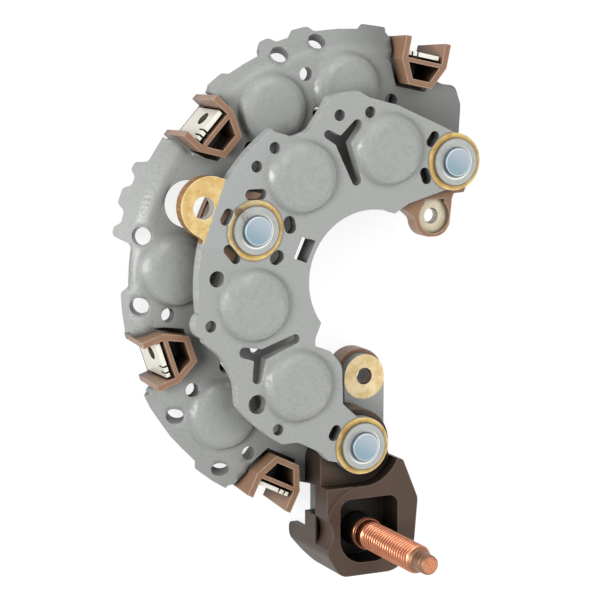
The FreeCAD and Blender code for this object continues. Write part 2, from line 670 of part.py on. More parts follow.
def ring_terminal():
    holes = [cylinder(RING_CENTRE, RING_HOLE_R, LUG_BACK, FRONT_BACK)]
    holes.append(cylinder(RIVET_A, RIVET_HOLE_R, LUG_BACK, FRONT_BACK))
    return ring_strap().cut(holes).removeSplitter()


def nut_blank():
    """Square nut pressed into the lug from behind, under the ring terminal."""
    half = NUT_FLATS_HALF
    blank = box(-half, half, -half, half, LUG_BACK, LUG_BACK + NUT_T)
    blank.rotate(Vector(0, 0, 0), UP, NUT_TURN)
    blank.translate(Vector(*RING_CENTRE, 0))
    return blank


def lug_nut():
    return nut_blank().cut(cylinder(RING_CENTRE, NUT_THREAD_R, LUG_BACK - PAST, FRONT_BACK))


def spacer_bush():
    body = cylinder(RIVET_B, BUSH_R, REAR_TOP, FRONT_BACK)
    body = body.fuse(cylinder(RIVET_B, BUSH_FOOT_R, REAR_BACK, REAR_TOP))
    return body.cut(cylinder(RIVET_B, RIVET_HOLE_R, REAR_BACK - PAST, FRONT_BACK + PAST)).removeSplitter()


def rivet(centre):
    """Flat-headed rivet, its tail spread behind the terminal block."""
    seat = FRONT_TOP + WASHER_T
    top = seat + RIVET_HEAD_T
    tail = BLOCK_BACK - RIVET_TAIL
    profile = (
        (0, tail), (RIVET_TAIL_R, tail), (RIVET_TAIL_R, BLOCK_BACK), (RIVET_R, BLOCK_BACK), (RIVET_R, seat),
        (RIVET_HEAD_R, seat), (RIVET_HEAD_R, top), (0, top),
    )
    return turned(profile, centre)


def washer(centre):
    body = cylinder(centre, WASHER_R, FRONT_TOP, FRONT_TOP + WASHER_T)
    return body.cut(cylinder(centre, RIVET_HOLE_R, FRONT_TOP - PAST, FRONT_TOP + WASHER_T + PAST))


def skirt():
    """Curved wall that runs back past the tongue on the insulator's left side."""
    outline = prism(INSULATOR_CORNERS, 0, INSULATOR_STEP)
    points = [Vector(x, y, 0) for x, y, _ in INSULATOR_CORNERS]
    face = Part.Face(rounded_wire(points, [radius for _, _, radius in INSULATOR_CORNERS]))
    inside = face.makeOffset2D(-SKIRT_WALL).extrude(Vector(0, 0, INSULATOR_STEP))
    side_points = [Vector(SKIRT_LEFT, y, z) for y, z, _ in SKIRT_CORNERS]
    side = Part.Face(rounded_wire(side_points, [radius for _, _, radius in SKIRT_CORNERS]))
    return outline.cut(inside).common(side.extrude(Vector(SKIRT_REACH, 0, 0)))


def insulator_cuts():
    """Recess for the fin's lobe, well round the stud and scoop in the left side."""
    z1 = INSULATOR_FRONT
    high = z1 + PAST
    x, y = RIVET_C
    shoulder = box(-REACH, x, LAND_CENTRE[1], y, z1 - LAND_STEP, high)
    scoop_side = box(INSULATOR_LEFT + SCOOP_WALL, x, -REACH, LAND_CENTRE[1] + LAND_R, SCOOP_FLOOR, z1)
    return [
        cylinder(RIVET_C, RECESS_R, FRONT_BACK, high),
        box(-REACH, x, RECESS_EDGE, y + RECESS_R, FRONT_BACK, high),
        shoulder.cut(cylinder(LAND_CENTRE, LAND_R, 0, high)),
        prism(WELL_CORNERS, WELL_FLOOR, high),
        cylinder(SCOOP_CENTRE, SCOOP_R, INSULATOR_STEP, high),
        cylinder(SCOOP_CENTRE, SCOOP_R, SCOOP_FLOOR, z1).common(scoop_side),
        cylinder(RIVET_C, RIVET_HOLE_R, REAR_BACK - PAST, z1),
        cylinder(STUD_CENTRE, STUD_COLLAR_R + SLIP, REAR_TOP - PAST, z1),
    ]


def stud_insulator():
    z0 = REAR_TOP
    upper = prism(INSULATOR_CORNERS, INSULATOR_STEP, INSULATOR_FRONT)
    outline = prism(INSULATOR_CORNERS, z0, INSULATOR_STEP)
    lower = outline.common(box(TONGUE_LEFT, REACH, -REACH, 0, z0, INSULATOR_STEP))
    x, y = SCOOP_CENTRE
    pouch = outline.common(box(x, TONGUE_LEFT, y - SCOOP_R, y + SCOOP_END, z0, INSULATOR_STEP))
    neck = prism(NECK_CORNERS, z0, FRONT_BACK).fuse(cylinder(RIVET_C, NECK_R, z0, FRONT_BACK))
    spigot = cylinder(RIVET_C, SPIGOT_R, REAR_BACK, z0)
    body = upper.multiFuse([lower, pouch, neck, spigot, skirt()])
    return body.cut(insulator_cuts()).removeSplitter()


def output_stud():
    """Stud with a flange behind the tongue, a collar, a thread and a plain pilot point."""
    thread_start = STUD_COLLAR_END + STUD_GROOVE
    profile = (
        (0, REAR_BACK - STUD_HEAD_T), (STUD_HEAD_R, REAR_BACK - STUD_HEAD_T), (STUD_HEAD_R, REAR_BACK),
        (STUD_COLLAR_R, REAR_BACK), (STUD_COLLAR_R, STUD_COLLAR_END), (STUD_GROOVE_R, STUD_COLLAR_END),
        (STUD_GROOVE_R, thread_start), (STUD_THREAD_R, thread_start), (STUD_THREAD_R, STUD_THREAD_END),
        (STUD_POINT_R, STUD_THREAD_END), (STUD_POINT_R, STUD_TIP), (0, STUD_TIP),
    )
    return turned(profile, STUD_CENTRE)


def build():
    """Every separate piece of the rectifier, by node name."""
    nodes = {"front_fin": front_fin(), "rear_fin": rear_fin(), "terminal_block": terminal_block()}
    for index in range(len(GUIDE_PLACES)):
        number = str(index + 1)
        nodes["front_diode_" + number] = diode(FRONT_DIODES[index], FRONT_TOP)
        nodes["rear_diode_" + number] = diode(REAR_DIODES[index], REAR_TOP)
        nodes["terminal_tab_" + number] = terminal_tab(index)
    for index, centre in enumerate(RIVETS):
        nodes["rivet_" + str(index + 1)] = rivet(centre)
        nodes["washer_" + str(index + 1)] = washer(centre)
    nodes["terminal_spacer"] = terminal_spacer()
    nodes["ring_terminal"] = ring_terminal()
    nodes["lug_nut"] = lug_nut()
    nodes["spacer_bush"] = spacer_bush()
    nodes["stud_insulator"] = stud_insulator()
    nodes["output_stud"] = output_stud()
    return nodes


os.makedirs("parts", exist_ok=True)
for name, shape in build().items():
    shape.exportStep("parts/" + name + ".step")
    print(name, len(shape.Solids), round(shape.Volume, 1), shape.isValid())
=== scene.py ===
from math import cos, radians, sin, tau

import bmesh
import bpy
from mathutils import Matrix, Vector

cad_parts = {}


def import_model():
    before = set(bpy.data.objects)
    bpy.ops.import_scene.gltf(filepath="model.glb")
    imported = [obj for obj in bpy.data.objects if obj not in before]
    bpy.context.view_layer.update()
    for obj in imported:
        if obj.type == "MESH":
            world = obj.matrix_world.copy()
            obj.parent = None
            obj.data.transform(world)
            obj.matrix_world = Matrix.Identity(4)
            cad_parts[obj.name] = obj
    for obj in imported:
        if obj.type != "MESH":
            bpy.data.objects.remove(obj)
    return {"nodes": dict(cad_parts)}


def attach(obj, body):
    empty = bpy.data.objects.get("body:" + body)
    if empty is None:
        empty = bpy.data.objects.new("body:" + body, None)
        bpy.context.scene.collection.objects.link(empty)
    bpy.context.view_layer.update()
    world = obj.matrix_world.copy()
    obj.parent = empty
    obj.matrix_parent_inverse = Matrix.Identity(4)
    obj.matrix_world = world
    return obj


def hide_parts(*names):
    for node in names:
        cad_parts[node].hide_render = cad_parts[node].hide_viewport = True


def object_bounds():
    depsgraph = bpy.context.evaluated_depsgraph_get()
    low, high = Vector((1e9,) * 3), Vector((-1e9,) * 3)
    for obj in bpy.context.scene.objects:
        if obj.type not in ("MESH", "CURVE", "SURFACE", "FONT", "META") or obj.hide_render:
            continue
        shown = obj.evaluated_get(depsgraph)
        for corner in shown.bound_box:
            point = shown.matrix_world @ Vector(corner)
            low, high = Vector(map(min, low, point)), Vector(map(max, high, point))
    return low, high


# Alternator rectifier: materials for the CAD nodes, with the stud's thread and the leads' solder as pieces.
# Lengths are written in millimetres and turned into metres by MM.

MM = 0.001
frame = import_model()
nodes = frame["nodes"]
cad_low, cad_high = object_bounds()

# Places and sizes that masks and pieces share with the part
RIVETS = ((19.4, 23.4), (-26.3, 11.4), (-1.9, -35.2))
FRONT_DIODES = ((3.9, 26.6), (-15.9, 21.7), (-26.6, -3.8), (-16.8, -21.2))
REAR_DIODES = ((-1.0, 38.7), (-18.0, 34.8), (-39.3, 2.9), (-29.3, -27.8))
SHAFT = (0, 0)
BOSS = (3.6, -22.6)
STUD = (-0.5, -54.3)
FRONT_TOP = 18.0
REAR_TOP = 8.0
FRONT_ROOF = 18.9
REAR_ROOF = 8.9
RIM_BEND_R = 47.3
DIODE_CUP_DEPTH = 1.9
DIODE_POTTING_DEPTH = 2.42
TAB_HOLE_HEIGHT = 6.6
TAB_HOLE_EDGE = (1.7, 1.6)
RIVET_HEAD_R = 2.9
WASHER_EDGE = (4.75, 4.95)
WASHER_SEAT_RING = (3.45, 3.7)
WASHER_GROOVE_RING = (2.9, 3.15)
SEAT_LIT_SIDE = (0.64, -0.77)
ZINC_LIT_SIDE = (0.5, 0.87)
TURNED_LINE_PITCH = 0.42
BOSS_THREAD_PITCH = 0.7
STUD_END_LINE_PITCH = 0.6

# Areas of the fins and washers with looks of their own: places, lines, radii and limits in plan
RING_R = 6.05
BOSS_RING_R = 4.9
EAR_HOLE = (-37.45, 16.4)
EAR_HOLE_MASK_R = 2.6
BOSS_HOLE_MASK_R = 2.1
EAR_LINE = ((-37.0, 10.5), (-33.0, 21.3))
EAR_FOOT = (9.0, 9.6)
NEAR_EAR_RIGHT = ((-32.8, 7.6), (-27.3, 20.6))
NEAR_EAR_FOOT = ((-40.0, 8.6), (-30.0, 7.8))
PALE_RING_SPOT = (-30.0, 15.0)
WORN_SPOT = (-29.9, 15.2)
WASHER_SCUFF_SPOT = (-28.9, 14.2)
# Where the painted shadow lies on the rear fin's upper right
REAR_SHADED_X = (-4.0, 12.0)
REAR_SHADED_Y = (15.0, 22.0)
DOME_EDGE = (8.2, 9.2)
BEND_EDGE = (1.6, 2.4)

# Roundings of edges, as the light sees them
PAINT_ROUND = 0.22
DOME_ROUND = 1.6
BEND_ROUND = 2.2

# Reach of the painted shade in creases, in pockets and under the fins
CREASE_REACH = 1.2
POCKET_REACH = 9.0
WIDE_REACH = 26.0

# How many rays find occlusion and rounded edges, and how far a normal turns on an edge that gets wear and a
# painted highlight
OCCLUSION_SAMPLES = 8
BEVEL_SAMPLES = 6
EDGE_TURN = (0.005, 0.12)

# The stud: its thread, its plain ends as radius and height, and the heights where its looks change
THREAD_START = 19.6
THREAD_END = 40.5
THREAD_PITCH = 1.0
THREAD_MAJOR = 3.0
THREAD_MINOR = 2.45
THREAD_STEEPNESS = 1.25
THREAD_FLAT_ROOT = 0.1
THREAD_FADE_IN = 1.4
THREAD_FADE_OUT = 0.6
THREAD_COLUMNS = 64
THREAD_ROWS_PER_TURN = 12
STUD_HEAD = (
    (0.01, 3.8), (5.0, 3.8), (5.0, 5.4), (3.4, 5.4), (3.4, 16.9), (3.45, 17.05), (3.45, 17.7), (3.36, 17.78),
    (3.36, 17.86), (3.45, 17.95), (3.43, 18.2), (3.3, 18.4), (2.7, 18.42), (2.65, 19.1), (2.85, 19.25),
    (2.96, 19.45),
)
STUD_POINT = (
    (2.05, 40.9), (2.05, 43.6), (1.9, 43.75), (1.9, 44.0), (2.05, 44.15), (2.0, 44.6), (1.65, 45.0),
    (0.01, 45.0),
)
NEAR_BLACK_COLLAR_ZONE = ((6.0, 6.2), (17.05, 16.95))
GROOVE_ZONE = ((18.3, 18.42), (19.35, 19.2))
THREAD_ZONE = ((18.3, 18.5), (40.6, 40.3))
POINT_FOOT = (39.9, 40.6)
STUD_END_FACE = (44.4, 44.6)

# Solder fillet as radius and height
SOLDER_PROFILE = (
    (0.01, 0.04), (0.45, 0.05), (0.75, 0.12), (1.0, 0.22), (1.3, 0.32), (1.6, 0.38), (1.62, 0.44),
    (0.01, 0.44),
)
SOLDER_COLUMNS = 28

# Edges steeper than this stay sharp
SHARP_DEGREES = 38

# Camera of the photograph
CAMERA_AT = (-205.3, 65.4, 412.7)
CAMERA_RIGHT = (0.90197, 0.0, 0.43179)
CAMERA_UP = (0.06707, 0.98786, -0.14011)
FOCAL_PIXELS = 2175
HALF_FRAME = 300
SENSOR = 36
CLIP_START = 0.01
CLIP_END = 20

# Studio, in metres: name, place, aim, size and power of each lamp, then the surround and the floor
LAMPS = (
    ("key", (-0.45, 0.04, 0.36), (-0.01, 0.0, 0.01), 0.24, 2.2),
    ("top", (0.05, 0.30, 0.55), (0.0, 0.0, 0.0), 0.45, 1.5),
    ("right_fill", (0.45, -0.25, 0.35), (0.0, -0.02, 0.01), 0.40, 0.8),
)
SURROUND_STRENGTH = 0.46
FLOOR_HALF = 3.0
FLOOR_GAP = 0.0001
FLOOR_DARK = (0.23, 0.23, 0.23, 1)
FLOOR_LIGHT = (0.25, 0.25, 0.25, 1)
FLOOR_GLOW = 0.84


def rgb(red, green, blue):
    """Linear colour from the 0 to 255 values of a display colour."""
    linear = []
    for value in (red, green, blue):
        part = value / 255
        linear.append(part / 12.92 if part <= 0.04045 else ((part + 0.055) / 1.055) ** 2.4)
    return (*linear, 1.0)


def dimmed(color, factor):
    return tuple(value * factor for value in color[:3]) + (1.0,)


def lifted(color, factor):
    return tuple(min(1.0, value * factor) for value in color[:3]) + (1.0,)


# Colours; a pair goes from dark to light
PAINT_DARK = (0.318, 0.330, 0.315, 1.0)
PAINT_LIGHT = (0.356, 0.367, 0.352, 1.0)
SHEARED_AND_LIT_WALL_PAINT = (rgb(188, 191, 188), rgb(222, 224, 221))
WORN_EDGE_AND_HIGHLIGHT_PAINT = rgb(214, 216, 212)
BLUISH_PAINT = rgb(158, 168, 172)
RING_GOLD = (rgb(188, 150, 82), rgb(226, 196, 124))
PALE_GOLD = (rgb(178, 160, 112), rgb(214, 202, 164))
EAR_GOLD = (rgb(198, 160, 92), rgb(218, 193, 135))
BOSS_GOLD = (rgb(214, 184, 124), rgb(240, 220, 176))
SHEARED_GOLD = (rgb(140, 92, 48), rgb(196, 148, 90))
GOLD_STAIN = rgb(186, 138, 74)
GOLD_SPECK = rgb(246, 232, 190)
GOLD_EDGE_HIGHLIGHT = rgb(252, 238, 200)
GOLD_CREASE_SHADE = rgb(96, 64, 34)
RING_OUTLINE = rgb(112, 92, 66)
DRILLED_WALL = (rgb(170, 164, 152), rgb(214, 210, 202))
TAPPED_WALL = (rgb(34, 24, 20), rgb(176, 134, 96))
BURN = (rgb(66, 50, 36), rgb(118, 90, 64))
TERMINAL_BROWN = (rgb(122, 88, 66), rgb(150, 116, 92))
BUSH_BROWN = (rgb(150, 118, 94), rgb(178, 144, 118))
INSULATOR_BROWN = (rgb(66, 50, 40), rgb(82, 64, 52))
WORN_EDGE_AND_HIGHLIGHT_BROWN = rgb(206, 178, 152)
WORN_EDGE_AND_HIGHLIGHT_INSULATOR = rgb(118, 98, 84)
TIN = (rgb(230, 226, 210), rgb(248, 245, 234))
TIN_EDGE_HIGHLIGHT = rgb(255, 253, 246)
TIN_CREASE_SHADE = rgb(84, 82, 74)
TAB_HOLE_SHADE = (rgb(48, 46, 36), rgb(92, 90, 76))
ZINC = (rgb(136, 160, 171), rgb(168, 179, 188))
ZINC_RIM_HIGHLIGHT = rgb(236, 244, 248)
ZINC_CORNER_SHADE = rgb(84, 92, 98)
WASHER_STEEL = (rgb(160, 163, 160), rgb(186, 189, 184))
WASHER_LINE = rgb(116, 118, 114)
WASHER_SEAT_HIGHLIGHT = rgb(244, 246, 244)
WASHER_GROOVE = rgb(90, 92, 92)
WASHER_SCUFF = rgb(120, 104, 84)
WASHER_RIM = rgb(86, 80, 66)
COPPER = (rgb(198, 118, 86), rgb(230, 162, 128))
COPPER_ROOT_SHADE = rgb(140, 70, 44)
COPPER_GROOVE_SHADE = rgb(28, 18, 14)
COPPER_DULL = rgb(132, 110, 90)
COPPER_CREASE_SHADE = rgb(110, 56, 36)
STUD_END = rgb(206, 142, 106)
STUD_END_MARK = rgb(146, 84, 58)
NEAR_BLACK_COLLAR = (rgb(16, 13, 12), rgb(26, 21, 19))
RING_PLATE = (rgb(196, 186, 158), rgb(224, 216, 192))
NUT_STEEL = (rgb(140, 138, 132), rgb(186, 184, 176))
DIODE_COPPER = (rgb(176, 112, 84), rgb(206, 146, 112))
DIODE_POTTING = (rgb(24, 23, 24), rgb(44, 42, 42))
DIODE_LEAD = (rgb(190, 188, 180), rgb(222, 220, 212))


class Shade:
    """Small builder of one node material."""

    def __init__(self, name):
        self.material = bpy.data.materials.new(name)
        self.material.use_nodes = True
        self.tree = self.material.node_tree
        self.tree.nodes.clear()
        self.output = self.node("ShaderNodeOutputMaterial")
        self.coords = self.node("ShaderNodeTexCoord").outputs["Object"]
        split = self.node("ShaderNodeSeparateXYZ")
        self.link(self.coords, split.inputs[0])
        self.x, self.y, self.z = split.outputs
        normal = self.node("ShaderNodeSeparateXYZ")
        self.link(self.node("ShaderNodeNewGeometry").outputs["True Normal"], normal.inputs[0])
        self.facing = normal.outputs[2]

    def node(self, kind, **settings):
        made = self.tree.nodes.new(kind)
        for key, value in settings.items():
            setattr(made, key, value)
        return made

    def link(self, source, target):
        self.tree.links.new(source, target)

    def put(self, value, target):
        """Set a socket to a value, or link it to another socket."""
        if isinstance(value, bpy.types.NodeSocket):
            self.link(value, target)
        else:
            target.default_value = value

    def math(self, operation, *values, clamp=False):
        made = self.node("ShaderNodeMath", operation=operation, use_clamp=clamp)
        for value, target in zip(values, made.inputs):
            self.put(value, target)
        return made.outputs[0]

    def times(self, first, second):
        return self.math("MULTIPLY", first, second)

    def plus(self, first, second):
        return self.math("ADD", first, second)

    def minus(self, first, second):
        return self.math("SUBTRACT", first, second)

    def invert(self, value):
        return self.minus(1.0, value)

    def mix(self, factor, first, second):
        """Blend of two colours."""
        made = self.node("ShaderNodeMix", data_type="RGBA")
        self.put(factor, made.inputs[0])
        self.put(first, made.inputs[6])
        self.put(second, made.inputs[7])
        return made.outputs[2]

    def tint(self, color, mask, amount, tone):
        """The colour, turned to the tone by the amount where the mask is 1."""
        return self.mix(self.times(mask, amount), color, tone)

    def blend(self, factor, first, second):
        """Blend of two numbers."""
        made = self.node("ShaderNodeMix", data_type="FLOAT")
        self.put(factor, made.inputs[0])
        self.put(first, made.inputs[2])
        self.put(second, made.inputs[3])
        return made.outputs[0]

    def noise(self, size_mm, detail=3, roughness=0.55, distortion=0.0):
        """Noise from 0 to 1 whose features are about size_mm across."""
        made = self.node("ShaderNodeTexNoise")
        self.link(self.coords, made.inputs["Vector"])
        made.inputs["Scale"].default_value = 1 / (size_mm * MM)
        made.inputs["Detail"].default_value = detail
        made.inputs["Roughness"].default_value = roughness
        made.inputs["Distortion"].default_value = distortion
        return made.outputs["Fac"]

    def streaks(self, plan_mm, axis_mm):
        """Noise from 0 to 1 of one size in plan and another along the axis."""
        stretch = self.node("ShaderNodeMapping")
        self.link(self.coords, stretch.inputs["Vector"])
        in_plan = 1 / (plan_mm * MM)
        stretch.inputs["Scale"].default_value = (in_plan, in_plan, 1 / (axis_mm * MM))
        made = self.node("ShaderNodeTexNoise")
        self.link(stretch.outputs[0], made.inputs["Vector"])
        made.inputs["Scale"].default_value = 1.0
        made.inputs["Detail"].default_value = 3
        return made.outputs["Fac"]

    def wobble(self, reach_mm):
        """Noise in metres round 0, which makes the edge of a mask uneven."""
        return self.times(self.minus(self.noise(1.6), 0.5), reach_mm * MM)

    def step(self, value, zero_at, one_at):
        """0 up to one limit and 1 from the other on, smooth between."""
        made = self.node("ShaderNodeMapRange", interpolation_type="SMOOTHSTEP")
        self.put(value, made.inputs[0])
        self.put(zero_at, made.inputs[1])
        self.put(one_at, made.inputs[2])
        return made.outputs[0]

    def step_mm(self, value, limits):
        """The same step for a value in metres, between two limits in millimetres."""
        return self.step(value, limits[0] * MM, limits[1] * MM)

    def zone(self, foot, end):
        """Mask of what lies between two heights, each given as two limits in millimetres."""
        return self.times(self.step_mm(self.z, foot), self.step_mm(self.z, end))

    def face(self, top):
        """Mask of the flat face at a height in millimetres and of all above it."""
        return self.step_mm(self.z, (top - 0.08, top - 0.02))

    def wall(self, zero_at=0.5, one_at=0.2):
        """Mask of the surfaces that stand along the axis."""
        return self.step(self.math("ABSOLUTE", self.facing), zero_at, one_at)

    def occlusion(self, reach_mm):
        """1 in the open, towards 0 in creases."""
        made = self.node("ShaderNodeAmbientOcclusion", samples=OCCLUSION_SAMPLES)
        made.inputs["Distance"].default_value = reach_mm * MM
        return made.outputs["AO"]

    def bump(self, height, strength, depth_mm, edge):
        """Relief of the height in mm, over edges rounded to a radius in metres."""
        made = self.node("ShaderNodeBump")
        made.inputs["Strength"].default_value = strength
        made.inputs["Distance"].default_value = depth_mm * MM
        self.put(height, made.inputs["Height"])
        bevel = self.node("ShaderNodeBevel", samples=BEVEL_SAMPLES)
        self.put(edge, bevel.inputs["Radius"])
        self.link(bevel.outputs[0], made.inputs["Normal"])
        return made.outputs[0]

    def edges(self, radius_mm):
        """1 along the sharp edges, 0 on flat ground."""
        bevel = self.node("ShaderNodeBevel", samples=BEVEL_SAMPLES)
        bevel.inputs["Radius"].default_value = radius_mm * MM
        dot = self.node("ShaderNodeVectorMath", operation="DOT_PRODUCT")
        self.link(bevel.outputs[0], dot.inputs[0])
        self.link(self.node("ShaderNodeNewGeometry").outputs["True Normal"], dot.inputs[1])
        return self.step(self.invert(dot.outputs["Value"]), *EDGE_TURN)

    def away(self, centre):
        """Distance in metres from an upright axis at a plan centre in millimetres."""
        dx = self.minus(self.x, centre[0] * MM)
        dy = self.minus(self.y, centre[1] * MM)
        return self.math("SQRT", self.plus(self.times(dx, dx), self.times(dy, dy)))

    def nearest(self, centres):
        """Distance in metres from the nearest of some upright axes."""
        nearest = self.away(centres[0])
        for centre in centres[1:]:
            nearest = self.math("MINIMUM", nearest, self.away(centre))
        return nearest

    def away_along(self, centres, direction):
        """Signed distance in metres along a plan direction from the nearest of some upright axes."""
        offset = None
        nearest = None
        for centre in centres:
            dx = self.times(self.minus(self.x, centre[0] * MM), direction[0])
            dy = self.times(self.minus(self.y, centre[1] * MM), direction[1])
            along = self.plus(dx, dy)
            away = self.away(centre)
            if nearest is None:
                offset, nearest = along, away
            else:
                closer = self.math("LESS_THAN", away, nearest)
                offset = self.blend(closer, offset, along)
                nearest = self.math("MINIMUM", nearest, away)
        return offset

    def ring(self, centres, inner, outer, wobble=0.0):
        """Mask of the rings round upright axes, between two radii in millimetres."""
        soft = 0.1
        away = self.plus(self.nearest(centres), wobble)
        inside = self.step_mm(away, (inner - soft, inner + soft))
        return self.times(inside, self.invert(self.step_mm(away, (outer - soft, outer + soft))))

    def disc(self, centre, radius, wobble=None, soft=0.06):
        """Mask of an upright cylinder round a plan centre in millimetres."""
        away = self.away(centre)
        if wobble is not None:
            away = self.plus(away, wobble)
        return self.invert(self.step_mm(away, (radius - soft, radius + soft)))

    def side(self, line, wobble, soft=0.08):
        """Mask of everything left of a line in plan, given by its start and end."""
        start, end = line
        direction = (Vector(end) - Vector(start)).normalized()
        across = self.minus(self.times(self.y, direction.x), self.times(self.x, direction.y))
        offset = (start[1] * direction.x - start[0] * direction.y) * MM
        away = self.plus(self.minus(across, offset), wobble)
        return self.step_mm(away, (-soft, soft))

    def shader(self, color, roughness, metallic=0.0, normal=None, specular=0.5):
        made = self.node("ShaderNodeBsdfPrincipled")
        self.put(color, made.inputs["Base Color"])
        self.put(roughness, made.inputs["Roughness"])
        made.inputs["Metallic"].default_value = metallic
        made.inputs["Specular IOR Level"].default_value = specular
        if normal is not None:
            self.link(normal, made.inputs["Normal"])
        return made.outputs[0]

    def over(self, factor, below, above):
        made = self.node("ShaderNodeMixShader")
        self.put(factor, made.inputs[0])
        self.link(below, made.inputs[1])
        self.link(above, made.inputs[2])
        return made.outputs[0]

    def finish(self, surface):
        self.link(surface, self.output.inputs["Surface"])
        return self.material


def paint(shade, domes, bend):
    """Colour, roughness and normal of the grey heat-sink paint.

    It is satin and faintly mottled, with grit and specks. Its walls are pale and streaked, partly as sheared
    edges and partly as painted light; rubbed edges carry a painted highlight; creases, pockets and the ground
    under the fins get painted shade.
    The domes are patchily smoother, and so is the rim's bend on a fin whose bend is 1.
    """
    cloud = shade.noise(11, detail=4)
    grit = shade.noise(0.4, detail=3, roughness=0.7)
    peel = shade.noise(1.3, detail=3)
    fleck = shade.step(shade.noise(0.8, detail=3, roughness=0.75), 0.62, 0.74)
    color = shade.mix(cloud, PAINT_DARK, PAINT_LIGHT)
    color = shade.mix(shade.step(grit, 0.35, 0.75), color, dimmed(PAINT_DARK, 0.86))
    color = shade.tint(color, fleck, 0.3, dimmed(PAINT_DARK, 0.6))
    # Pale streaked walls: sheared-edge streaks, and painted light that brightens every wall
    sheared = shade.mix(shade.step(shade.streaks(0.22, 4.0), 0.3, 0.7), *SHEARED_AND_LIT_WALL_PAINT)
    color = shade.tint(color, shade.wall(), 0.7, sheared)
    # Paler edges: wear and a painted highlight
    wear_and_highlight = shade.times(shade.edges(0.35), shade.step(shade.noise(1.8, detail=4), 0.4, 0.62))
    color = shade.tint(color, wear_and_highlight, 0.4, WORN_EDGE_AND_HIGHLIGHT_PAINT)
    # Painted shade in creases
    crease = shade.math("POWER", shade.occlusion(CREASE_REACH), 1.2)
    color = shade.mix(crease, dimmed(PAINT_DARK, 0.7), color)
    # Painted shade under the front fin, reaching far
    under = shade.step(shade.occlusion(WIDE_REACH), 0.25, 0.9)
    color = shade.mix(under, dimmed(PAINT_DARK, 0.74), color)
    # Painted shade deep in pockets, holes and slots
    deep = shade.step(shade.occlusion(POCKET_REACH), 0.12, 0.62)
    color = shade.mix(deep, dimmed(PAINT_DARK, 0.12), color)

    on_dome = shade.invert(shade.step_mm(shade.nearest(domes), DOME_EDGE))
    patchy = shade.times(shade.step(shade.noise(2.0, detail=3), 0.45, 0.56), on_dome)
    rough = shade.blend(patchy, 0.5, 0.24)
    from_bend = shade.math("ABSOLUTE", shade.minus(shade.away(SHAFT), RIM_BEND_R * MM))
    on_bend = shade.times(shade.invert(shade.step_mm(from_bend, BEND_EDGE)), bend)
    rough = shade.blend(on_bend, rough, 0.3)

    flake = shade.times(shade.noise(0.7, detail=2), shade.times(on_bend, 2.5))
    height = shade.plus(shade.times(grit, 0.4), shade.times(peel, 1.6))
    height = shade.plus(height, flake)
    edge = shade.blend(on_dome, PAINT_ROUND * MM, DOME_ROUND * MM)
    edge = shade.blend(on_bend, edge, BEND_ROUND * MM)
    relief = shade.bump(height, 0.5, 0.06, edge)
    flatter = shade.node("ShaderNodeMix", data_type="VECTOR")
    shade.put(shade.times(on_dome, 0.4), flatter.inputs[0])
    shade.link(relief, flatter.inputs[4])
    flatter.inputs[5].default_value = (0, 0, 1)
    return color, rough, flatter.outputs[1]


def gold(shade, dark, light):
    """Bare chromated metal: clouded, stained and speckled, with streaked brown walls, a painted highlight on
    the edges and painted shade in creases.
    """
    cloud = shade.noise(2.6, detail=5, roughness=0.62)
    stain = shade.step(shade.noise(1.1, detail=5, roughness=0.7), 0.54, 0.72)
    speck = shade.step(shade.noise(0.35, detail=2), 0.6, 0.75)
    color = shade.mix(shade.step(cloud, 0.3, 0.7), dark, light)
    color = shade.tint(color, stain, 0.5, GOLD_STAIN)
    color = shade.tint(color, speck, 0.45, GOLD_SPECK)
    sheared = shade.mix(shade.step(shade.streaks(0.25, 4.0), 0.3, 0.7), *SHEARED_GOLD)
    color = shade.mix(shade.wall(0.9, 0.4), color, sheared)
    # Painted highlight on the edges
    color = shade.tint(color, shade.edges(0.35), 0.6, GOLD_EDGE_HIGHLIGHT)
    # Painted shade in creases
    color = shade.mix(shade.occlusion(0.8), GOLD_CREASE_SHADE, color)
    normal = shade.bump(shade.noise(0.25, detail=3), 0.35, 0.03, 0.2 * MM)
    return shade.shader(color, shade.blend(cloud, 0.36, 0.5), metallic=0.35, normal=normal)


def front_fin_material():
    """Painted fin with a gold ear, gold rings round the rivets and a burnt spot beside the second washer."""
    shade = Shade("front_fin_paint")
    color, rough, normal = paint(shade, FRONT_DIODES, 0.0)
    wobble = shade.wobble(0.5)
    face = shade.face(FRONT_TOP)
    ear = shade.times(shade.side(EAR_LINE, wobble), shade.step_mm(shade.plus(shade.y, wobble), EAR_FOOT))
    near_ear = shade.times(shade.side(NEAR_EAR_RIGHT, wobble, soft=0.25),
                           shade.side(NEAR_EAR_FOOT, wobble, soft=0.3))
    color = shade.tint(color, near_ear, 0.2, BLUISH_PAINT)
    outline = shade.times(shade.ring(RIVETS, RING_R - 0.05, RING_R + 0.35, wobble), face)
    color = shade.tint(color, outline, 0.6, RING_OUTLINE)
    painted = shade.shader(color, rough, normal=normal)

    rings = shade.times(shade.ring(RIVETS, 0.0, RING_R, wobble), face)
    bare = shade.math("MAXIMUM", rings, ear, clamp=True)
    pale = shade.disc(PALE_RING_SPOT, 6.0, wobble, soft=2.5)
    dark = shade.mix(ear, shade.mix(pale, RING_GOLD[0], PALE_GOLD[0]), EAR_GOLD[0])
    light = shade.mix(ear, shade.mix(pale, RING_GOLD[1], PALE_GOLD[1]), EAR_GOLD[1])
    surface = shade.over(bare, painted, gold(shade, dark, light))

    burn = shade.shader(shade.mix(shade.noise(0.6), *BURN), 0.5)
    worn = shade.times(shade.disc(WORN_SPOT, 1.0, wobble, soft=0.35), face)
    surface = shade.over(shade.times(worn, 0.85), surface, burn)
    drilled = shade.shader(shade.mix(shade.noise(0.8), *DRILLED_WALL), 0.35, metallic=0.5)
    hole = shade.times(shade.disc(EAR_HOLE, EAR_HOLE_MASK_R), shade.wall())
    return shade.finish(shade.over(hole, surface, drilled))


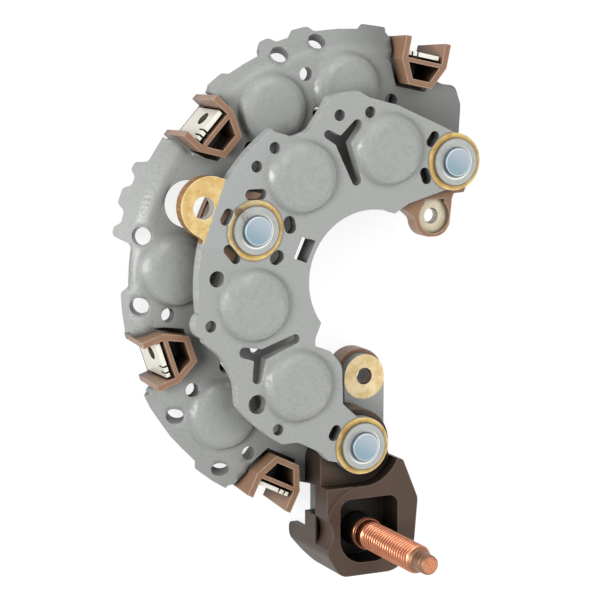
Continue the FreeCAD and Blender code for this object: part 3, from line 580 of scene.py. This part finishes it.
def rear_fin_material():
    """Painted fin with a painted shadow at its upper right, and a gold spot face round the tapped hole of the
    boss.
    """
    shade = Shade("rear_fin_paint")
    color, rough, normal = paint(shade, REAR_DIODES, 1.0)
    wobble = shade.wobble(0.3)
    # Painted shadow of the front fin on the rear fin's upper right
    right = shade.step_mm(shade.plus(shade.x, wobble), REAR_SHADED_X)
    shaded = shade.times(right, shade.step_mm(shade.y, REAR_SHADED_Y))
    color = shade.tint(color, shaded, 0.9, dimmed(PAINT_DARK, 0.5))
    painted = shade.shader(color, rough, normal=normal)
    spot = shade.times(shade.disc(BOSS, BOSS_RING_R, wobble), shade.face(REAR_TOP))
    surface = shade.over(spot, painted, gold(shade, *BOSS_GOLD))
    # Tapped hole: painted thread lines, dark roots as painted shade and light crests as painted glints
    turn = shade.math("SINE", shade.times(shade.z, tau / (BOSS_THREAD_PITCH * MM)))
    tapped = shade.shader(shade.mix(shade.step(turn, 0.1, 0.9), *TAPPED_WALL), 0.35, metallic=0.5)
    hole = shade.times(shade.disc(BOSS, BOSS_HOLE_MASK_R), shade.wall())
    return shade.finish(shade.over(hole, surface, tapped))


def moulding(name, pair, edge, rough, depth_mm, open_at, side=0.0, specular=0.5):
    """Moulded thermoset: fine speckle, flow streaks, paler edges of wear and painted highlight, and painted
    shade in the sockets.

    Sockets get painted shade by occlusion over depth_mm until it reads open_at; side says how much painted
    light pales the walls.
    """
    shade = Shade(name)
    dark, light = pair
    cloud = shade.noise(6, detail=4, distortion=0.4)
    grain = shade.noise(0.5, detail=3)
    flow = shade.streaks(5.0, 0.4)
    color = shade.mix(shade.blend(0.5, shade.blend(0.5, cloud, grain), flow), dark, light)
    # Paler walls by side: painted light
    color = shade.tint(color, shade.wall(0.6, 0.3), side, lifted(light, 1.9))
    # Paler edges: wear and a painted highlight
    wear_and_highlight = shade.times(shade.edges(0.45), shade.step(shade.noise(1.5), 0.2, 0.55))
    color = shade.tint(color, wear_and_highlight, 0.7, edge)
    # Painted shade in the sockets
    deep = shade.step(shade.occlusion(depth_mm), 0.25, open_at)
    color = shade.mix(deep, dimmed(dark, 0.05), color)
    normal = shade.bump(grain, 0.25, 0.04, 0.2 * MM)
    gloss = shade.blend(cloud, rough - 0.05, rough + 0.08)
    return shade.finish(shade.shader(color, gloss, normal=normal, specular=specular))


def metal(name, pair, rough, metallic):
    """Plated or bare metal with clouded colour, a fine surface and painted shade in creases."""
    shade = Shade(name)
    dark, light = pair
    cloud = shade.noise(1.2, detail=4, roughness=0.6)
    # Painted shade in creases
    crease = shade.step(shade.occlusion(1.5), 0.2, 0.75)
    color = shade.mix(crease, dimmed(dark, 0.14), shade.mix(cloud, dark, light))
    normal = shade.bump(shade.noise(0.15, detail=2), 0.15, 0.02, 0.12 * MM)
    gloss = shade.blend(cloud, rough - 0.06, rough + 0.08)
    return shade.finish(shade.shader(color, gloss, metallic=metallic, normal=normal))


def tab_material():
    """Tinned tab: bright and slightly clouded, with a painted highlight on its edges, painted shade in
    creases and painted shade inside its hole.
    """
    shade = Shade("tinned_tab")
    cloud = shade.noise(1.2, detail=4, roughness=0.6)
    # Painted highlight on the edges
    color = shade.tint(shade.mix(cloud, *TIN), shade.edges(0.35), 0.6, TIN_EDGE_HIGHLIGHT)
    # Painted shade in creases
    crease = shade.step(shade.occlusion(1.5), 0.2, 0.75)
    color = shade.mix(crease, TIN_CREASE_SHADE, color)
    # Painted shade inside the hole
    outward = shade.node("ShaderNodeVectorMath", operation="DOT_PRODUCT")
    shade.link(shade.node("ShaderNodeNewGeometry").outputs["True Normal"], outward.inputs[0])
    shade.link(shade.coords, outward.inputs[1])
    share = shade.math("DIVIDE", shade.math("ABSOLUTE", outward.outputs["Value"]), shade.away(SHAFT))
    from_hole = shade.math("ABSOLUTE", shade.minus(shade.z, TAB_HOLE_HEIGHT * MM))
    hole = shade.times(shade.step(share, 0.5, 0.3), shade.step_mm(from_hole, TAB_HOLE_EDGE))
    color = shade.tint(color, hole, 0.9, shade.mix(cloud, *TAB_HOLE_SHADE))
    normal = shade.bump(shade.noise(0.15, detail=2), 0.15, 0.02, 0.12 * MM)
    return shade.finish(shade.shader(color, shade.blend(cloud, 0.24, 0.38), metallic=0.3, normal=normal))


def rivet_material():
    """Blue zinc plate on the rivet with painted light: paler to one side, a painted highlight on the rim and
    painted shade in the corner round it.
    """
    shade = Shade("blue_zinc")
    cloud = shade.noise(1.8, detail=3)
    # Painted light: paler towards one side
    slant = shade.plus(shade.away_along(RIVETS, ZINC_LIT_SIDE), shade.times(cloud, 1.2 * MM))
    color = shade.mix(shade.step_mm(slant, (-1.6, 3.0)), *ZINC)
    # Painted highlight on the rim
    rim = shade.ring(RIVETS, RIVET_HEAD_R - 0.18, RIVET_HEAD_R)
    color = shade.tint(color, rim, 0.5, ZINC_RIM_HIGHLIGHT)
    # Painted shade in the corner round the head
    corner = shade.step_mm(shade.nearest(RIVETS), (RIVET_HEAD_R, RIVET_HEAD_R + 0.1))
    color = shade.tint(color, corner, 0.6, ZINC_CORNER_SHADE)
    normal = shade.bump(shade.noise(0.2, detail=2), 0.08, 0.02, 0.5 * MM)
    return shade.finish(shade.shader(color, shade.blend(cloud, 0.4, 0.48), metallic=0.6, normal=normal))


def washer_material():
    """Bare steel washer: fine turned lines, a painted highlight on the seat, stronger to one side, a dark
    groove, a scuff and a dark rim.
    """
    shade = Shade("washer_steel")
    cloud = shade.noise(1.4, detail=4)
    away = shade.nearest(RIVETS)
    turned = shade.times(shade.math("SINE", shade.times(away, tau / (TURNED_LINE_PITCH * MM))), 0.5)
    color = shade.tint(shade.mix(cloud, *WASHER_STEEL), shade.step(turned, 0.1, 0.5), 0.25, WASHER_LINE)
    # Painted highlight on the seat, stronger towards one side
    worn = shade.step_mm(shade.away_along(RIVETS, SEAT_LIT_SIDE), (-2.5, 2.0))
    color = shade.tint(color, shade.ring(RIVETS, *WASHER_SEAT_RING), worn, WASHER_SEAT_HIGHLIGHT)
    groove = shade.ring(RIVETS, *WASHER_GROOVE_RING)
    color = shade.tint(color, groove, 0.8, WASHER_GROOVE)
    scuff = shade.disc(WASHER_SCUFF_SPOT, 1.5, shade.times(cloud, 1.2 * MM), soft=0.5)
    scuff = shade.times(scuff, shade.step(shade.noise(0.5), 0.4, 0.6))
    color = shade.tint(color, scuff, 0.7, WASHER_SCUFF)
    color = shade.tint(color, shade.step_mm(away, WASHER_EDGE), 0.75, WASHER_RIM)
    normal = shade.bump(shade.minus(shade.times(turned, 0.3), groove), 0.4, 0.06, 0.25 * MM)
    return shade.finish(shade.shader(color, shade.blend(cloud, 0.4, 0.5), metallic=0.55, normal=normal))


def stud_material():
    """Copper plate with painted shade in the thread's roots, in the groove and in creases, a dull point and a
    marked end, and a near black collar below.
    """
    shade = Shade("copper_plate")
    cloud = shade.noise(1.2, detail=4, roughness=0.6)
    away = shade.away(STUD)
    # Painted shade in the thread's roots
    root = shade.times(shade.step_mm(away, (2.75, 2.5)), shade.zone(*THREAD_ZONE))
    color = shade.tint(shade.mix(cloud, *COPPER), root, 0.5, COPPER_ROOT_SHADE)
    # Painted shade in the groove
    groove = shade.times(shade.zone(*GROOVE_ZONE), shade.step_mm(away, (3.35, 3.1)))
    color = shade.tint(color, groove, 0.95, COPPER_GROOVE_SHADE)

    end_face = shade.times(shade.step(shade.facing, 0.8, 0.95), shade.step_mm(shade.z, STUD_END_FACE))
    end_face = shade.times(end_face, shade.step_mm(away, (1.75, 1.55)))
    point = shade.math("SUBTRACT", shade.step_mm(shade.z, POINT_FOOT), end_face, clamp=True)
    dull = shade.times(point, shade.step(cloud, 0.1, 0.4))
    color = shade.tint(color, dull, 0.8, COPPER_DULL)
    line = shade.math("SINE", shade.times(away, tau / (STUD_END_LINE_PITCH * MM)))
    pits = shade.step(shade.noise(0.7, detail=2), 0.56, 0.66)
    marks = shade.math("MAXIMUM", shade.times(shade.step(line, 0.2, 0.9), 0.4), pits)
    color = shade.tint(color, end_face, 0.75, shade.mix(marks, STUD_END, STUD_END_MARK))
    # Painted shade in creases
    color = shade.mix(shade.occlusion(1.5), COPPER_CREASE_SHADE, color)

    normal = shade.bump(shade.noise(0.15, detail=2), 0.15, 0.02, 0.1 * MM)
    plated = shade.shader(color, shade.blend(dull, 0.28, 0.5), metallic=0.9, normal=normal)
    # The collar below the thread is near black
    near_black_collar = shade.shader(shade.mix(cloud, *NEAR_BLACK_COLLAR), 0.5, normal=normal, specular=0.3)
    return shade.finish(shade.over(shade.zone(*NEAR_BLACK_COLLAR_ZONE), plated, near_black_collar))


def diode_material(name, roof):
    """Copper cup, dark potting and tinned lead, one below the other from the pocket's roof."""
    shade = Shade(name)
    cloud = shade.noise(0.8, detail=3)
    fine = shade.bump(shade.noise(0.2), 0.2, 0.03, 0.1 * MM)
    copper = shade.shader(shade.mix(cloud, *DIODE_COPPER), 0.34, metallic=1.0, normal=fine)
    potting = shade.shader(shade.mix(cloud, *DIODE_POTTING), 0.4, normal=fine)
    lead = shade.shader(shade.mix(cloud, *DIODE_LEAD), 0.28, metallic=1.0, normal=fine)
    soft = 0.03
    cup_end = roof - DIODE_CUP_DEPTH
    potting_end = roof - DIODE_POTTING_DEPTH
    in_cup = shade.step_mm(shade.z, (cup_end - soft, cup_end + soft))
    in_potting = shade.step_mm(shade.z, (potting_end - soft, potting_end + soft))
    return shade.finish(shade.over(in_cup, shade.over(in_potting, lead, potting), copper))


def dress(name, material):
    """Give a CAD node one material on every slot."""
    mesh = nodes[name].data
    mesh.materials.clear()
    mesh.materials.append(material)


def add_mesh(name, vertices, faces, material):
    mesh = bpy.data.meshes.new(name)
    mesh.from_pydata(vertices, [], faces)
    mesh.update()
    made = bpy.data.objects.new(name, mesh)
    bpy.context.scene.collection.objects.link(made)
    mesh.materials.append(material)
    for polygon in mesh.polygons:
        polygon.use_smooth = True
    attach(made, "root")
    return made


def ring_points(centre, radii, z):
    """Points in metres round an upright axis, one for each radius in millimetres."""
    points = []
    for column, radius in enumerate(radii):
        angle = tau * column / len(radii)
        x = centre[0] + radius * cos(angle)
        y = centre[1] + radius * sin(angle)
        points.append((x * MM, y * MM, z * MM))
    return points


def turned_faces(rows, columns):
    """Quads of a tube of rows by columns, and one face on each end."""
    faces = []
    for row in range(rows - 1):
        for column in range(columns):
            following = (column + 1) % columns
            faces.append((row * columns + column, row * columns + following,
                          (row + 1) * columns + following, (row + 1) * columns + column))
    last = (rows - 1) * columns
    faces.append(tuple(range(columns - 1, -1, -1)))
    faces.append(tuple(range(last, last + columns)))
    return faces


def thread_radius(z, angle):
    """Rounded V thread that fades out at both ends."""
    phase = ((z - THREAD_START) / THREAD_PITCH - angle / tau) % 1.0
    wave = 0.5 + 0.5 * cos(tau * phase)
    wave = min(1.0, max(0.0, wave * THREAD_STEEPNESS - THREAD_FLAT_ROOT))
    start = min(1.0, max(0.0, (z - THREAD_START) / THREAD_FADE_IN))
    end = min(1.0, max(0.0, (THREAD_END - z) / THREAD_FADE_OUT))
    wave = 1.0 - (1.0 - wave) * start
    return THREAD_MINOR + (THREAD_MAJOR - THREAD_MINOR) * wave * end


def stud_piece(material):
    """The output stud with its real helical thread, in one skin."""
    angles = [tau * column / THREAD_COLUMNS for column in range(THREAD_COLUMNS)]
    rings = [([radius] * THREAD_COLUMNS, z) for radius, z in STUD_HEAD]
    count = int((THREAD_END - THREAD_START) / THREAD_PITCH * THREAD_ROWS_PER_TURN)
    for step in range(1, count):
        z = THREAD_START + (THREAD_END - THREAD_START) * step / count
        rings.append(([thread_radius(z, angle) for angle in angles], z))
    rings += [([radius] * THREAD_COLUMNS, z) for radius, z in STUD_POINT]
    vertices = []
    for radii, z in rings:
        vertices += ring_points(STUD, radii, z)
    faces = turned_faces(len(rings), THREAD_COLUMNS)
    piece = add_mesh("threaded_stud", vertices, faces, material)
    crisp(piece)
    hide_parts("output_stud")


def crisp(piece):
    """Smooth shading that keeps sharp edges."""
    mesh = bmesh.new()
    mesh.from_mesh(piece.data)
    limit = radians(SHARP_DEGREES)
    for edge in mesh.edges:
        if len(edge.link_faces) == 2 and edge.calc_face_angle() > limit:
            edge.smooth = False
    mesh.to_mesh(piece.data)
    mesh.free()


def solder(name, centre, material):
    """Small fillet of solder round one lead on the back of its strap."""
    vertices = []
    for radius, z in SOLDER_PROFILE:
        vertices += ring_points(centre, [radius] * SOLDER_COLUMNS, z)
    faces = turned_faces(len(SOLDER_PROFILE), SOLDER_COLUMNS)
    add_mesh(name, vertices, faces, material)


def lights():
    for name, place, aim, size, power in LAMPS:
        lamp = bpy.data.lights.new(name, "AREA")
        lamp.shape = "DISK"
        lamp.size = size
        lamp.energy = power
        made = bpy.data.objects.new(name, lamp)
        made.location = place
        direction = Vector(aim) - Vector(place)
        made.rotation_euler = direction.to_track_quat("-Z", "Y").to_euler()
        bpy.context.scene.collection.objects.link(made)


def world():
    """Soft even surround; white to the camera and to reflections."""
    made = bpy.data.worlds.new("studio")
    bpy.context.scene.world = made
    made.use_nodes = True
    tree = made.node_tree
    tree.nodes.clear()
    output = tree.nodes.new("ShaderNodeOutputWorld")
    back = tree.nodes.new("ShaderNodeBackground")
    path = tree.nodes.new("ShaderNodeLightPath")
    glossy = tree.nodes.new("ShaderNodeMapRange")
    glossy.inputs[3].default_value = SURROUND_STRENGTH
    glossy.inputs[4].default_value = 1.0
    tree.links.new(path.outputs["Is Glossy Ray"], glossy.inputs[0])
    strength = glossy.outputs[0]
    for seen in ("Is Camera Ray", "Is Transmission Ray"):
        level = tree.nodes.new("ShaderNodeMath")
        level.operation = "MAXIMUM"
        tree.links.new(path.outputs[seen], level.inputs[0])
        tree.links.new(strength, level.inputs[1])
        strength = level.outputs[0]
    tree.links.new(strength, back.inputs["Strength"])
    tree.links.new(back.outputs[0], output.inputs["Surface"])


def floor():
    """Plain pale floor that shows near white and keeps a soft shadow."""
    half = FLOOR_HALF
    corners = [(-half, -half, 0), (half, -half, 0), (half, half, 0), (-half, half, 0)]
    mesh = bpy.data.meshes.new("floor")
    mesh.from_pydata(corners, [], [(0, 1, 2, 3)])
    made = bpy.data.objects.new("floor", mesh)
    made.location.z = cad_low[2] - FLOOR_GAP
    bpy.context.scene.collection.objects.link(made)
    shade = Shade("floor_white")
    path = shade.node("ShaderNodeLightPath")
    seen = shade.math("MAXIMUM", path.outputs["Is Camera Ray"], path.outputs["Is Transmission Ray"])
    seen = shade.math("MAXIMUM", seen, path.outputs["Is Glossy Ray"])
    matt = shade.shader(shade.mix(shade.noise(40, detail=2), FLOOR_DARK, FLOOR_LIGHT), 0.9, specular=0.0)
    glow = shade.node("ShaderNodeEmission")
    glow.inputs["Color"].default_value = (1, 1, 1, 1)
    shade.link(shade.times(seen, FLOOR_GLOW), glow.inputs["Strength"])
    both = shade.node("ShaderNodeAddShader")
    shade.link(matt, both.inputs[0])
    shade.link(glow.outputs[0], both.inputs[1])
    mesh.materials.append(shade.finish(both.outputs[0]))


def camera():
    data = bpy.data.cameras.new("camera")
    data.sensor_width = SENSOR
    data.lens = SENSOR / 2 * FOCAL_PIXELS / HALF_FRAME
    data.clip_start = CLIP_START
    data.clip_end = CLIP_END
    made = bpy.data.objects.new("camera", data)
    right = Vector(CAMERA_RIGHT).normalized()
    up = Vector(CAMERA_UP).normalized()
    back = right.cross(up).normalized()
    turn = Matrix((right, up, back)).transposed().to_4x4()
    made.matrix_world = Matrix.Translation(Vector(CAMERA_AT) * MM) @ turn
    bpy.context.scene.collection.objects.link(made)
    bpy.context.scene.camera = made


def dress_all():
    dress("front_fin", front_fin_material())
    dress("rear_fin", rear_fin_material())
    brown = moulding("terminal_brown", TERMINAL_BROWN, WORN_EDGE_AND_HIGHLIGHT_BROWN, 0.36, 6.0, 0.8, side=0.3)
    bush_brown = moulding("bush_brown", BUSH_BROWN, WORN_EDGE_AND_HIGHLIGHT_BROWN, 0.4, 1.0, 0.4)
    dark_brown = moulding("insulator_brown", INSULATOR_BROWN, WORN_EDGE_AND_HIGHLIGHT_INSULATOR, 0.42, 9.0, 0.85, specular=0.3)
    zinc = rivet_material()
    washer = washer_material()
    tin = metal("tin_plate", TIN, 0.3, 0.3)
    dress("terminal_block", brown)
    dress("terminal_spacer", brown)
    dress("spacer_bush", bush_brown)
    dress("stud_insulator", dark_brown)
    dress("ring_terminal", metal("ring_plate", RING_PLATE, 0.34, 0.4))
    dress("lug_nut", metal("nut_steel", NUT_STEEL, 0.35, 0.6))
    front_diode = diode_material("front_diode_parts", FRONT_ROOF)
    rear_diode = diode_material("rear_diode_parts", REAR_ROOF)
    tab = tab_material()
    for number in "1234":
        dress("front_diode_" + number, front_diode)
        dress("rear_diode_" + number, rear_diode)
        dress("terminal_tab_" + number, tab)
    for number in "123":
        dress("rivet_" + number, zinc)
        dress("washer_" + number, washer)
    stud_piece(stud_material())
    for index, centre in enumerate(FRONT_DIODES + REAR_DIODES):
        solder("solder_" + str(index + 1), centre, tin)


dress_all()
floor()
world()
lights()
camera()
bpy.context.scene.view_settings.view_transform = "Standard"
